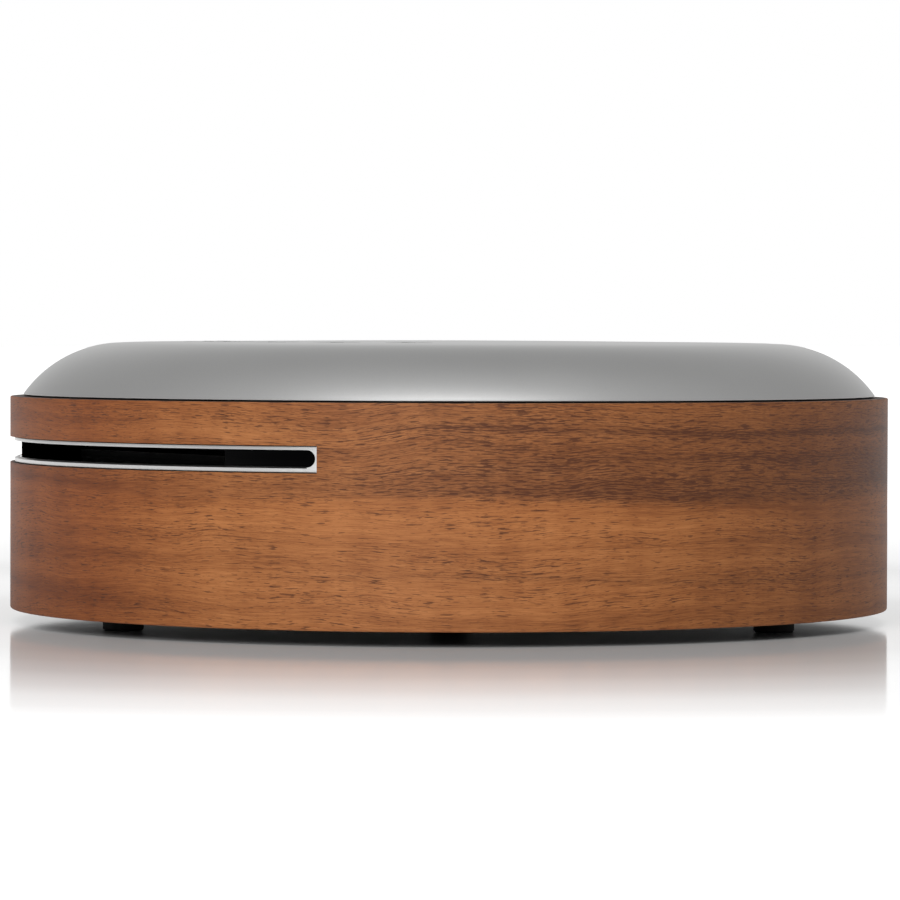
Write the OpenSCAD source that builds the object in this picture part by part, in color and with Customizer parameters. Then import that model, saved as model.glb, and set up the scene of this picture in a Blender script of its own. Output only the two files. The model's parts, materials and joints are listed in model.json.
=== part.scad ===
// Round slot-loading disc player with a wireless audio receiver: a veneered drum under a domed cap.
// The origin is on the axis of the drum at table height; the disc slot faces -Y and the sockets face +Y.

/* [Cabinet] */
// Outer diameter of the drum
body_d = 250; // [240:1:262]
// Height of the wooden wall
wall_h = 60; // [56:1:64]
// Thickness of the wall, veneer included
wall_t = 10; // [9:0.5:11]
// Thickness of the veneer
veneer_t = 0.6; // [0.5:0.1:1]
// Shadow gap between the wall and the cap
cap_gap = 0.5; // [0.4:0.1:1]

/* [Cap] */
// Thickness of the cap's shell
cap_t = 2.5; // [2:0.1:3]
// Radius of the cap's shoulder
shoulder_r = 34.25; // [33:0.25:35]
// Rise of the cap's crown from the shoulder to the axis
crown_rise = 0.85; // [0.5:0.05:1.2]

/* [Disc slot] */
// Height of the slot's middle above the wall's lower edge
slot_mid_h = 45.2; // [44:0.1:46]
// Half of the angle that the slot's trim spans
trim_half = 43.8; // [42:0.1:45]
// Height of the trim
trim_h = 7; // [6.6:0.1:7.4]
// Height of the opening in the trim
trim_open_h = 4.6; // [4.6:0.1:5]
// Width of the slot that the disc passes
disc_slot_w = 126; // [124:1:128]
// Height of the slot that the disc passes
disc_slot_h = 4.5; // [4.4:0.1:4.6]

/* [Feet and base] */
// Height of the feet
foot_h = 4; // [3.5:0.5:6]
// Diameter of a foot
foot_d = 11.3; // [10:0.1:14]
// Radius of the circle that the feet stand on
foot_circle_r = 103.65; // [100:0.05:108]
// Thickness of the base plate
base_t = 2.5; // [2:0.5:3]

/* [Keys] */
// Diameter of a key
key_d = 12.5; // [11:0.5:13]
// Travel of a key
key_travel = 0.6; // [0.4:0.1:0.6]
// Radius of the arc that the keys lie on
key_arc_r = 70; // [68:1:72]
// Angle from one key to the next
key_step = 17; // [16:1:18]

/* [Drive] */
// Distance that the optical pickup travels
sled_travel = 33; // [30:1:33]
// Module of the drive's gears
gear_m = 0.6; // [0.6:0.1:0.6]

/* [Hidden] */
$fn = 96;
e = 0.01;

// Levels and radii of the cabinet
body_r = body_d / 2;
wall_in = body_r - wall_t;
wall_z0 = foot_h;
wall_z1 = foot_h + wall_h;
base_z0 = wall_z0 + 0.2;
base_z1 = base_z0 + base_t;
base_r = body_r - 4;
edge_r = 0.7;
column_circle_r = 104;
column_angles = [20, 160, -35, -145];
base_screw_circle_r = body_r - 8;

// Levels and radii of the cap, measured from the top of the wall
shoulder_x = body_r - 31.76;
shoulder_z = wall_z1 - 19.04;
crown_edge_r = shoulder_x + 2.06;
crown_swell = 2;
crown_steps = 20;
crown_edge_z = shoulder_z + sqrt(pow(shoulder_r, 2) - pow(crown_edge_r - shoulder_x, 2));
cap_z0 = wall_z1 + cap_gap;
spigot_r = wall_in - 0.4;
spigot_t = 2.4;
spigot_z0 = wall_z1 - 5.5;

// Disc slot
slot_z = wall_z0 + slot_mid_h;
trim_z0 = slot_z - trim_h / 2 - 0.2;
trim_r1 = body_r - 1.25;
trim_r0 = trim_r1 - 1.25;
mask_r = trim_r0 - 0.1;
open_half = trim_half - 0.3;
open_end_r = trim_open_h / 2;
open_end_angle = open_half - open_end_r / trim_r1 * 180 / PI;
tunnel_y1 = -86;
tunnel_half_w = disc_slot_w / 2 + 3;

// Keys, counted from the left as seen from the front
key_r = key_d / 2;
key_gap = 0.25;
key_top_z = crown_z(key_arc_r);
key_flange_z1 = key_top_z - cap_t - 0.15;
key_flange_t = 1.5;
key_stem_z0 = key_top_z - 7;
control_z0 = key_top_z - 13.5;
control_t = 1.6;
control_half = 66;
control_boss_angles = [-150, -98.5, -81.5, -30];
lamp_r = 1.2;
lamp_circle_r = 84;

// Rear panel: x is along the panel, y is out of it
tray_half_w = 45.8;
tray_z0 = wall_z0 + 6.2;
tray_z1 = wall_z0 + 41.8;
tray_wall = 2;
panel_y0 = 101.5;
panel_y1 = 104;
board_y0 = 95.5;
board_y1 = 97.1;
row_high = wall_z0 + 30;
row_low = wall_z0 + 15;
row_mid = wall_z0 + 23;
x_power = -33;
x_small = -12;
x_optical = 9;
x_rca = 31;
rca_shell_r = 4.15;
rca_neck_r = 3.4;
rca_pin_r = 1.7;
aux_bore_r = 1.8;
dc_bore_r = 2.85;
dc_pin_r = 1.05;
rocker_pivot_y = 103;
rocker_r = 6.6;
rocker_half_w = 4;
rocker_tilt = 8;

// Main board
main_z0 = 12;
main_z1 = 13.6;
main_hole_x = [-46, 46];
main_hole_y = [18, 88];

// Disc drive
drive_half_w = 70;
drive_y0 = -82;
drive_y1 = 68;
drive_wall = 1.5;
drive_z0 = 27;
drive_z1 = 56;
disc_z0 = slot_z - 0.6;
spindle_y = 4;
damper_points = [[-62, -74], [62, -74], [-62, 60], [62, 60]];
roller_y = -62;
roller_z = disc_z0 - 4.2;
roller_end_r = 4;
roller_mid_r = 3.3;
gear_x0 = 60.5;
gear_t = 2.6;
roller_teeth = 24;
reduction_small_teeth = 12;
reduction_big_teeth = 28;
pinion_teeth = 10;
mesh_a = (roller_teeth + reduction_small_teeth) * gear_m / 2 + 0.05;
mesh_b = (reduction_big_teeth + pinion_teeth) * gear_m / 2 + 0.05;
reduction_dir = [cos(-38), sin(-38)];
reduction_y = roller_y + mesh_a * reduction_dir[0];
reduction_z = roller_z + mesh_a * reduction_dir[1];
pinion_dir = [cos(-3), sin(-3)];
pinion_y = reduction_y + mesh_b * pinion_dir[0];
pinion_z = reduction_z + mesh_b * pinion_dir[1];
motor_r = 6;
rod_r = 1.2;
rod_z = 38;
rod_y = [spindle_y - 16, spindle_y + 16];
lens_x = 23;
sled_x0 = 13;
sled_x1 = 32;
rail_x1 = sled_x1 + sled_travel + 0.4;
sled_z0 = 35.4;
sled_z1 = 41.4;
rack_z0 = 36;
rack_z1 = 39;
sled_gear_teeth = 24;
sled_pinion_teeth = 12;
sled_gear_x = 30;
rack_pitch_y = -20;
sled_gear_y = rack_pitch_y - sled_gear_teeth * gear_m / 2 - 0.05;
sled_pinion_x = sled_gear_x - (sled_gear_teeth + sled_pinion_teeth) * gear_m / 2 - 0.05;
frame_z0 = 31.5;
frame_z1 = 33;
arm_z0 = 53.6;
arm_t = 1.2;
arm_pivot_y = 60;
arm_half = 16;

// The crown swells a little towards its edge, to meet the shoulder smoothly
function crown_z(r) =
  let (t = r / crown_edge_r) crown_edge_z + (crown_rise + crown_swell * pow(t, 8)) * (1 - pow(t, 2));
function gear_r(teeth) = teeth * gear_m / 2;

// ---- Helpers ----

module block(x, y, z) {
  translate([x[0], y[0], z[0]])
    cube([x[1] - x[0], y[1] - y[0], z[1] - z[0]]);
}

module disc(r, z0, z1) {
  translate([0, 0, z0])
    cylinder(r = r, h = z1 - z0);
}

module ring(r1, r0, z0, z1) {
  difference() {
    disc(r1, z0, z1);
    disc(r0, z0 - 1, z1 + 1);
  }
}

module polar(angle, r) {
  translate([r * cos(angle), r * sin(angle), 0])
    children();
}

// A curved bar about the axis, centred on the front
module sector(r0, r1, z0, z1, half) {
  rotate([0, 0, -90 - half])
    rotate_extrude(angle = 2 * half)
      translate([r0, z0])
        square([r1 - r0, z1 - z0]);
}

// A rod along Y with its middle at x, z
module rod_along_y(x, z, r, y0, y1) {
  translate([x, y1, z])
    rotate([90, 0, 0])
      cylinder(r = r, h = y1 - y0);
}

module rod_along_x(y, z, r, x0, x1) {
  translate([x0, y, z])
    rotate([0, 90, 0])
      cylinder(r = r, h = x1 - x0);
}

// Pan-head screw that points up, its head's underside at z = 0
module screw(head_r, head_h, shank_r, length) {
  difference() {
    union() {
      disc(head_r, -head_h, 0);
      disc(shank_r, -e, length);
    }
    translate([0, 0, -head_h - e]) {
      translate([-head_r * 0.6, -0.3, 0])
        cube([head_r * 1.2, 0.6, head_h * 0.5]);
      translate([-0.3, -head_r * 0.6, 0])
        cube([0.6, head_r * 1.2, head_h * 0.5]);
    }
  }
}

// Outline of a gear with stub teeth, one tooth pointing along +X
module gear_outline(teeth) {
  r_pitch = gear_r(teeth);
  r_tip = r_pitch + 0.75 * gear_m;
  r_root = r_pitch - 0.95 * gear_m;
  half_pitch = PI * gear_m / 4 - 0.09;
  w_tip = (half_pitch - 0.75 * gear_m * tan(22)) / r_tip * 180 / PI;
  w_root = (half_pitch + 0.95 * gear_m * tan(22)) / r_root * 180 / PI;
  polygon([
    for (i = [0:teeth - 1])
      for (p = [[r_root, -w_root], [r_tip, -w_tip], [r_tip, w_tip], [r_root, w_root]])
        p[0] * [cos(i * 360 / teeth + p[1]), sin(i * 360 / teeth + p[1])]
  ]);
}

module gear(teeth, thickness, bore_r) {
  difference() {
    linear_extrude(height = thickness)
      gear_outline(teeth);
    disc(bore_r, -1, thickness + 1);
  }
}

// Puts a gear's axis along +X, with the tooth that points along +X turned to the direction (y, z)
module axis_x(x, y, z, dir, phase) {
  translate([x, y, z])
    rotate([0, 90, 0])
      rotate([0, 0, atan2(dir[0], -dir[1]) + phase])
        children();
}

// ---- Cabinet ----

module slot_window(r0, r1, play) {
  sector(r0, r1, trim_z0 - play, trim_z0 + trim_h + play, trim_half + play * 0.4);
}

module rear_window(play) {
  block([-tray_half_w - play, tray_half_w + play], [90, body_r + 5], [tray_z0 - play, tray_z1 + play]);
}

module cabinet_core() {
  color("#4a3326")
    difference() {
      rotate_extrude()
        polygon([
          [wall_in, base_z1 + 0.1], [base_r + 0.3, base_z1 + 0.1], [base_r + 0.3, wall_z0],
          [body_r - veneer_t, wall_z0], [body_r - veneer_t, wall_z1], [wall_in, wall_z1]
        ]);
      slot_window(wall_in - 5, body_r + 5, 0.15);
      rear_window(0.15);
      for (a = [0:60:300])
        polar(a, base_screw_circle_r)
          disc(1.1, wall_z0, base_z1 + 12.1);
    }
}

module walnut_veneer() {
  color("#a5673c")
    difference() {
      rotate_extrude()
        polygon([
          [body_r - veneer_t, wall_z0], [body_r - edge_r / 2, wall_z0], [body_r, wall_z0 + edge_r],
          [body_r, wall_z1 - 0.2], [body_r - 0.2, wall_z1], [body_r - veneer_t, wall_z1]
        ]);
      slot_window(wall_in, body_r + 5, 0.15);
      rear_window(0.15);
    }
}

// Half section of the cap, thinned by inset from the outside
module cap_section(inset) {
  crown_points = [
    for (i = [0:crown_steps])
      let (r = crown_edge_r * i / crown_steps) [r, crown_z(r) - inset]
  ];
  polygon(concat([[0, cap_z0 - 1]], crown_points, [[crown_edge_r, cap_z0 - 1]]));
  intersection() {
    translate([shoulder_x, shoulder_z])
      circle(r = shoulder_r - inset);
    translate([crown_edge_r - e, cap_z0 - 1])
      square([shoulder_r, shoulder_r]);
  }
}

module key_bores() {
  for (i = [-3:3])
    polar(-90 + i * key_step, key_arc_r)
      disc(key_r + key_gap, control_z0, key_top_z + 5);
  polar(-90, lamp_circle_r)
    disc(lamp_r + 0.1, control_z0, key_top_z + 5);
}

module top_cover() {
  color("#c9c9c6")
    difference() {
      union() {
        rotate_extrude()
          difference() {
            cap_section(0);
            cap_section(cap_t);
            translate([-1, cap_z0 - 10])
              square([body_r + 10, 10]);
          }
        ring(spigot_r + 4, spigot_r - spigot_t, cap_z0, cap_z0 + 2.5);
        ring(spigot_r, spigot_r - spigot_t, spigot_z0, cap_z0 + e);
        for (a = column_angles)
          polar(a, column_circle_r)
            disc(4, base_z1, cap_z0 + 11.1);
        for (a = control_boss_angles)
          polar(a, key_arc_r)
            disc(2.4, control_z0 + control_t, key_top_z - cap_t + 0.8);
      }
      key_bores();
      for (a = column_angles)
        polar(a, column_circle_r)
          disc(1.3, base_z1 - 1, base_z1 + 18);
      for (a = control_boss_angles)
        polar(a, key_arc_r)
          disc(0.9, control_z0, control_z0 + control_t + 6);
    }
}

module top_gasket() {
  color("#161616")
    ring(wall_in + 4.6, wall_in + 0.3, wall_z1, cap_z0);
}

module slot_trim() {
  low = trim_z0 + trim_h - trim_open_h - 1;
  color("#bdbdb9")
    difference() {
      sector(trim_r0, trim_r1, trim_z0, trim_z0 + trim_h, trim_half);
      rotate([0, 0, -90 - open_end_angle])
        rotate_extrude(angle = 2 * open_end_angle)
          polygon([
            [trim_r0 - 1, low + 0.1], [trim_r0 + 0.4, low + 0.1], [trim_r1 + 1, low - 0.75],
            [trim_r1 + 1, low + trim_open_h], [trim_r0 - 1, low + trim_open_h]
          ]);
      for (s = [-1, 1])
        rotate([0, 0, s * open_end_angle])
          rod_along_y(0, low + open_end_r, open_end_r, -body_r - 5, -trim_r0 + 5);
    }
}

module slot_mask() {
  color("#0c0c0d")
    difference() {
      union() {
        sector(wall_in - 2.4, wall_in - 0.2, slot_z - 7.2, slot_z + 6.8, trim_half + 1.2);
        sector(wall_in - 0.3, mask_r, trim_z0 + 0.15, trim_z0 + trim_h - 0.15, trim_half - 0.2);
        intersection() {
          block([-tunnel_half_w, tunnel_half_w], [-body_r, tunnel_y1], [slot_z - 4.5, slot_z + 4.5]);
          disc(wall_in - 1, 0, 100);
        }
      }
      block([-disc_slot_w / 2, disc_slot_w / 2], [-body_r, -60],
            [slot_z - disc_slot_h / 2, slot_z + disc_slot_h / 2]);
    }
}

module dust_felts() {
  color("#1b1b1b") {
    block([-64, 64], [tunnel_y1 + 0.1, tunnel_y1 + 1.5], [slot_z - 5, slot_z - 0.8]);
    block([-64, 64], [tunnel_y1 + 0.1, tunnel_y1 + 1.5], [slot_z + 0.8, slot_z + 5]);
  }
}

module base_plate() {
  color("#1a1a1b")
    difference() {
      union() {
        disc(base_r, base_z0, base_z1);
        for (p = damper_points)
          translate([p[0], p[1], 0])
            disc(5, base_z1 - e, 22);
        for (x = main_hole_x, y = main_hole_y)
          translate([x, y, 0])
            disc(3, base_z1 - e, main_z0);
      }
      for (p = damper_points)
        translate([p[0], p[1], 0])
          disc(1.2, 10, 23);
      for (x = main_hole_x, y = main_hole_y)
        translate([x, y, 0])
          disc(0.9, base_z1 + 0.6, main_z0 + 1);
      for (a = [-90, 30, 150])
        polar(a, foot_circle_r)
          disc(2.2, base_z0 - 1, base_z1 + 1);
      for (a = [0:60:300])
        polar(a, base_screw_circle_r) {
          disc(1.7, base_z0 - 1, base_z1 + 1);
          disc(3, base_z0 - 1, base_z0 + 1.3);
        }
      for (a = column_angles)
        polar(a, column_circle_r) {
          disc(1.7, base_z0 - 1, base_z1 + 1);
          disc(3, base_z0 - 1, base_z0 + 1.3);
        }
      for (i = [-6:6])
        block([-30, 30], [i * 6 - 1, i * 6 + 1], [base_z0 - 1, base_z1 + 1]);
    }
}

module base_screws() {
  color("#2a2a2a")
    for (a = [0:60:300])
      polar(a, base_screw_circle_r)
        translate([0, 0, base_z0 + 1.3])
          screw(2.7, 1.2, 1.1, 12);
}

module cover_screws() {
  color("#2a2a2a")
    for (a = column_angles)
      polar(a, column_circle_r)
        translate([0, 0, base_z0 + 1.3])
          screw(2.7, 1.2, 1.3, 16);
}

module foot(angle) {
  color("#121212")
    polar(angle, foot_circle_r)
      rotate_extrude()
        polygon([
          [0, 0], [foot_d / 2 - 0.5, 0], [foot_d / 2, 0.5], [foot_d / 2, base_z0],
          [2.15, base_z0], [2.15, base_z1 + 0.6], [0, base_z1 + 0.6]
        ]);
}

// ---- Keys and their board ----

module key(index) {
  color("#c4c4c1")
    polar(-90 + index * key_step, key_arc_r)
      rotate_extrude()
        polygon([
          [0, key_stem_z0], [2, key_stem_z0], [2, key_flange_z1 - key_flange_t],
          [key_r + 1.1, key_flange_z1 - key_flange_t], [key_r + 1.1, key_flange_z1],
          [key_r, key_flange_z1], [key_r, key_top_z - 0.3], [key_r - 0.3, key_top_z], [0, key_top_z - 0.12]
        ]);
}

module light_pipe() {
  color("#e8f0ee")
    polar(-90, lamp_circle_r) {
      disc(lamp_r, control_z0 + control_t + 1.5, crown_z(lamp_circle_r));
      disc(lamp_r + 1, control_z0 + control_t + 1.5, control_z0 + control_t + 3);
    }
}

module control_board() {
  color("#1d4a2c")
    difference() {
      sector(56, 89, control_z0, control_z0 + control_t, control_half);
      for (a = control_boss_angles)
        polar(a, key_arc_r)
          disc(1.3, control_z0 - 1, control_z0 + control_t + 1);
    }
}

module key_switches() {
  body_z1 = key_stem_z0 - key_travel - 1;
  color("#33363a")
    for (i = [-3:3])
      rotate([0, 0, i * key_step]) {
        block([-3, 3], [-key_arc_r - 3, -key_arc_r + 3], [control_z0 + control_t, body_z1]);
        translate([0, -key_arc_r, 0])
          disc(1.6, body_z1 - e, key_stem_z0 - key_travel - 0.1);
      }
}

module board_screws() {
  color("#b8b8b8") {
    for (a = control_boss_angles)
      polar(a, key_arc_r)
        translate([0, 0, control_z0])
          screw(2.1, 1.2, 0.9, 7);
    for (x = main_hole_x, y = main_hole_y)
      translate([x, y, main_z1])
        mirror([0, 0, 1])
          screw(2.1, 1.2, 0.9, 6);
  }
}

// ---- Rear panel and sockets ----

module panel_cutouts() {
  rod_along_y(x_power, row_low, 4.7, 95, 130);
  block([x_power - 5.2, x_power + 5.2], [95, 130], [row_high - 8.2, row_high + 8.2]);
  rod_along_y(x_small, row_low, 4.2, 95, 130);
  rod_along_y(x_small, row_high, 3.25, 95, 130);
  block([x_optical - 6.2, x_optical + 6.2], [95, 130], [row_mid - 6.2, row_mid + 6.2]);
  for (z = [row_low, row_high])
    rod_along_y(x_rca, z, 5.2, 95, 130);
}

module rear_panel() {
  color("#1c1c1d")
    difference() {
      union() {
        intersection() {
          block([-tray_half_w, tray_half_w], [panel_y0 - e, body_r], [tray_z0, tray_z1]);
          disc(body_r - 0.6, 0, 100);
        }
        block([-52, 52], [panel_y0 - 2.5, panel_y0], [tray_z0 - 1.6, tray_z1 + 1.6]);
      }
      block([-tray_half_w + tray_wall, tray_half_w - tray_wall], [panel_y1, 130],
            [tray_z0 + tray_wall, tray_z1 - tray_wall]);
      panel_cutouts();
      for (x = [-22.5, 20], z = [tray_z0 + 6, tray_z1 - 6])
        rod_along_y(x, z, 1.6, 95, 130);
    }
}

module rear_screws() {
  color("#26262a")
    for (x = [-22.5, 20], z = [tray_z0 + 6, tray_z1 - 6])
      translate([x, panel_y1, z])
        rotate([90, 0, 0])
          screw(2.6, 1.5, 1.2, 8);
}

module rca_shell(z) {
  color("#c8c8c4")
    translate([x_rca, 0, z])
      difference() {
        union() {
          rod_along_y(0, 0, rca_shell_r, 105.5, 113);
          rod_along_y(0, 0, rca_neck_r, 98, 106);
          rod_along_y(0, 0, 5, board_y1 + 0.2, 100);
        }
        rod_along_y(0, 0, rca_pin_r, 101, 114);
      }
}

module rca_collar(z, shade) {
  color(shade)
    translate([x_rca, 0, z])
      difference() {
        union() {
          rod_along_y(0, 0, 5.1, panel_y0 - 1, panel_y1 + e);
          rod_along_y(0, 0, 6.2, panel_y1, panel_y1 + 1.4);
        }
        rod_along_y(0, 0, rca_neck_r + 0.05, 90, 120);
      }
}

module optical_jack() {
  color("#17181a")
    difference() {
      block([x_optical - 6, x_optical + 6], [board_y1 + 0.2, 107], [row_mid - 6, row_mid + 6]);
      block([x_optical - 4, x_optical + 4], [98.6, 110], [row_mid - 4, row_mid + 4]);
      rod_along_x(106, row_mid + 3.6, 0.75, x_optical - 4.8, x_optical + 4.8);
    }
}

// A flap on a pin along its upper edge; it swings inwards
module optical_shutter() {
  color("#202226") {
    rod_along_x(106, row_mid + 3.6, 0.7, x_optical - 4.7, x_optical + 4.7);
    block([x_optical - 3.8, x_optical + 3.8], [105.7, 106.4], [row_mid - 3.8, row_mid + 3.6]);
  }
}

module aux_jack() {
  color("#151516")
    difference() {
      union() {
        block([x_small - 5, x_small + 5], [91, 98.8], [row_low - 4.5, row_low + 4.5]);
        rod_along_y(x_small, row_low, 4, 98.8 - e, 106.5);
      }
      rod_along_y(x_small, row_low, aux_bore_r, 93, 110);
    }
}

module dc_jack() {
  color("#141415") {
    difference() {
      union() {
        block([x_power - 5, x_power + 5], [92, 98.8], [row_low - 5, row_low + 5]);
        rod_along_y(x_power, row_low, 4.5, 98.8 - e, 106.5);
      }
      rod_along_y(x_power, row_low, dc_bore_r, 96, 110);
    }
    rod_along_y(x_power, row_low, dc_pin_r, 95.9, 105.5);
  }
}

module switch_housing() {
  color("#161617")
    translate([x_power, 0, row_high])
      difference() {
        union() {
          block([-5, 5], [board_y1 + 0.2, panel_y1], [-8, 8]);
          block([-6.2, 6.2], [panel_y1, panel_y1 + 1.4], [-9.2, 9.2]);
        }
        block([-rocker_half_w - 0.2, rocker_half_w + 0.2], [98.6, 115], [-7, 7]);
        rod_along_x(rocker_pivot_y, 0, 0.85, -4.8, 4.8);
      }
}

module power_rocker() {
  color("#0e0e0f")
    translate([x_power, rocker_pivot_y, row_high])
      rotate([-rocker_tilt, 0, 0]) {
        rod_along_x(0, 0, 0.8, -4.7, 4.7);
        rotate([90, 0, 90])
          translate([0, 0, -rocker_half_w])
            linear_extrude(height = 2 * rocker_half_w)
              intersection() {
                circle(r = rocker_r);
                polygon([[-2.4, -7], [3.7, -7], [2.6, 0], [3.7, 7], [-2.4, 7]]);
              }
      }
}

module pairing_button() {
  color("#9a9a98") {
    rod_along_y(x_small, row_high, 3, 99, 106);
    rod_along_y(x_small, row_high, 3.9, 98.2, 99.0);
  }
}

module jack_board() {
  color("#1d4a2c")
    difference() {
      block([-50, 50], [board_y0, board_y1], [base_z1 + 3, 48]);
      block([x_power - 5.3, x_power + 5.3], [90, 100], [row_low - 5.3, row_low + 5.3]);
      block([x_small - 5.3, x_small + 5.3], [90, 100], [row_low - 4.8, row_low + 4.8]);
      for (x = [-22.5, 20], z = [tray_z0 + 6, tray_z1 - 6])
        rod_along_y(x, z, 1.6, 90, 100);
    }
}

// ---- Main board ----

module main_board() {
  color("#1d4a2c")
    difference() {
      block([-52, 52], [12, 93], [main_z0, main_z1]);
      for (x = main_hole_x, y = main_hole_y)
        translate([x, y, 0])
          disc(1.3, 11, 15);
    }
}

module board_parts() {
  color("#2b2d33") {
    for (c = [[-34, 78, 5, 16], [-20, 78, 5, 16], [20, 82, 4, 11], [32, 82, 4, 11]])
      translate([c[0], c[1], 0])
        disc(c[2], main_z1, main_z1 + c[3]);
    for (b = [[-10, 40, 12], [24, 36, 9], [-34, 44, 7], [0, 66, 8]])
      block([b[0] - b[2] / 2, b[0] + b[2] / 2], [b[1] - b[2] / 2, b[1] + b[2] / 2], [main_z1, main_z1 + 1.4]);
    block([36, 46], [44, 54], [main_z1, 19]);
  }
}

module wireless_module() {
  color("#c2c4c6") {
    block([-48, -36], [54, 70], [main_z1, 14.4]);
    block([-47, -37], [55, 66], [14.4 - e, 16.6]);
  }
}

// ---- Disc drive: chassis ----

module drive_chassis() {
  inner = drive_half_w - drive_wall;
  inner_y1 = drive_y1 - drive_wall;
  color("#8f9296")
    difference() {
      block([-drive_half_w, drive_half_w], [drive_y0, drive_y1], [drive_z0, drive_z1]);
      block([-inner, inner], [drive_y0 + drive_wall, inner_y1], [drive_z0 + drive_wall, 90]);
      block([-tunnel_half_w, tunnel_half_w], [drive_y0 - 5, drive_y0 + 5], [slot_z - 4.5, 90]);
      block([-34, 60], [-14, 22], [drive_z0 - 1, drive_z0 + 5]);
      for (p = damper_points)
        translate([p[0], p[1], 0])
          disc(3.1, drive_z0 - 1, drive_z0 + 5);
      rod_along_x(roller_y, roller_z, 1.56, -80, 80);
      rod_along_x(reduction_y, reduction_z, 1.06, 60, 80);
    }
  color("#8f9296") {
    for (x = [[-arm_half - 2.4, -arm_half - 0.4], [arm_half + 0.4, arm_half + 2.4]])
      block(x, [arm_pivot_y - 3, inner_y1 + e], [arm_z0 - 2.8, drive_z1]);
    rod_along_x(arm_pivot_y, arm_z0 + arm_t / 2, 0.8, -arm_half - 1, arm_half + 1);
  }
}

module drive_lid() {
  color("#a3a6a9")
    difference() {
      block([-drive_half_w, drive_half_w], [drive_y0, drive_y1], [drive_z1 + 0.02, drive_z1 + 1.2]);
      translate([0, spindle_y, 0])
        disc(10, drive_z1 - 1, drive_z1 + 3);
    }
}

module drive_dampers() {
  color("#5a2f2f")
    for (p = damper_points)
      translate([p[0], p[1], 0])
        rotate_extrude()
          polygon([
            [1.9, 22], [6, 22], [6, drive_z0 - 0.02], [3, drive_z0 - 0.02],
            [3, drive_z0 + drive_wall + 0.02], [5, drive_z0 + drive_wall + 0.02],
            [5, drive_z0 + 4], [1.9, drive_z0 + 4]
          ]);
}

module drive_screws() {
  color("#b8b8b8")
    for (p = damper_points)
      translate([p[0], p[1], drive_z0 + 4])
        mirror([0, 0, 1])
          screw(3.4, 1.6, 1.2, 20);
}

// ---- Disc drive: loading gear ----

module loading_motor() {
  color("#b4b6b8")
    difference() {
      union() {
        rod_along_x(pinion_y, pinion_z, motor_r, 32, 56);
        rod_along_x(pinion_y, pinion_z, 2, 56 - e, 57.5);
      }
      rod_along_x(pinion_y, pinion_z, 0.8, 40, 60);
    }
}

module motor_pinion() {
  color("#d8d4c6")
    axis_x(gear_x0 - gear_t - 0.2, pinion_y, pinion_z, [-pinion_dir[0], -pinion_dir[1]], 180 / pinion_teeth) {
      gear(pinion_teeth, gear_t, 0.7);
      translate([0, 0, -16])
        disc(0.75, 0, 16 + gear_t);
    }
}

module reduction_gear() {
  color("#d8d4c6") {
    axis_x(gear_x0 - gear_t - 0.2, reduction_y, reduction_z, pinion_dir, 0)
      gear(reduction_big_teeth, gear_t, 1);
    axis_x(gear_x0 - 0.2 - e, reduction_y, reduction_z, [-reduction_dir[0], -reduction_dir[1]],
           180 / reduction_small_teeth)
      gear(reduction_small_teeth, gear_t + 0.4, 1);
    rod_along_x(reduction_y, reduction_z, 1.02, gear_x0 - gear_t - 0.2, drive_half_w - 0.4);
  }
}

module loading_roller() {
  color("#232323")
    translate([0, roller_y, roller_z])
      rotate([0, 90, 0])
        rotate_extrude()
          polygon([
            [1.5, -56], [roller_end_r, -56], [roller_mid_r, 0], [roller_end_r, 56], [1.5, 56]
          ]);
}

module roller_shaft() {
  color("#c9ccd0") {
    rod_along_x(roller_y, roller_z, 1.5, -drive_half_w + 0.2, drive_half_w - 0.2);
    axis_x(gear_x0, roller_y, roller_z, reduction_dir, 0)
      gear(roller_teeth, gear_t, 1.4);
  }
}

// ---- Disc drive: spindle, clamp and pickup ----

module traverse_frame() {
  color("#74777b")
    difference() {
      union() {
        block([-32, 67], [-34, 28], [frame_z0, frame_z1]);
        for (x = [[11.5, 12.7], [rail_x1, rail_x1 + 1.2]], y = rod_y)
          block(x, [y - 2.5, y + 2.5], [frame_z1 - e, rod_z + 2.6]);
        translate([sled_gear_x, sled_gear_y, 0])
          disc(1.5, frame_z1 - e, 39.5);
        for (x = [-30, 62], y = [-31, 25])
          translate([x, y, 0])
            disc(1.8, drive_z0 + drive_wall, frame_z0 + e);
      }
      translate([0, spindle_y, 0])
        disc(11.3, 20, 60);
      block([16, 60], [spindle_y - 9, spindle_y + 9], [20, 60]);
      for (y = rod_y)
        rod_along_x(y, rod_z, rod_r, 12.1, rail_x1 + 0.6);
      translate([sled_pinion_x, sled_gear_y, 0])
        disc(motor_r + 0.2, 20, 60);
    }
  color("#c9ccd0")
    for (y = rod_y)
      rod_along_x(y, rod_z, rod_r, 12.1, rail_x1 + 0.6);
}

module spindle_motor() {
  color("#9da0a4")
    translate([0, spindle_y, 0])
      difference() {
        union() {
          disc(11, 30, 41);
          disc(14, frame_z1 + 0.02, frame_z1 + 1);
        }
        disc(1.05, 32, 50);
      }
}

module turntable() {
  color("#dadcdd")
    translate([0, spindle_y, 0]) {
      disc(14.5, disc_z0 - 3, disc_z0);
      rotate_extrude()
        polygon([
          [0, disc_z0 - e], [7.4, disc_z0 - e], [7.2, disc_z0 + 1], [5.4, disc_z0 + 1.9], [0, disc_z0 + 1.9]
        ]);
      disc(1, 33, disc_z0 - 3 + e);
      disc(3, 41.4, disc_z0 - 3 + e);
    }
}

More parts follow.
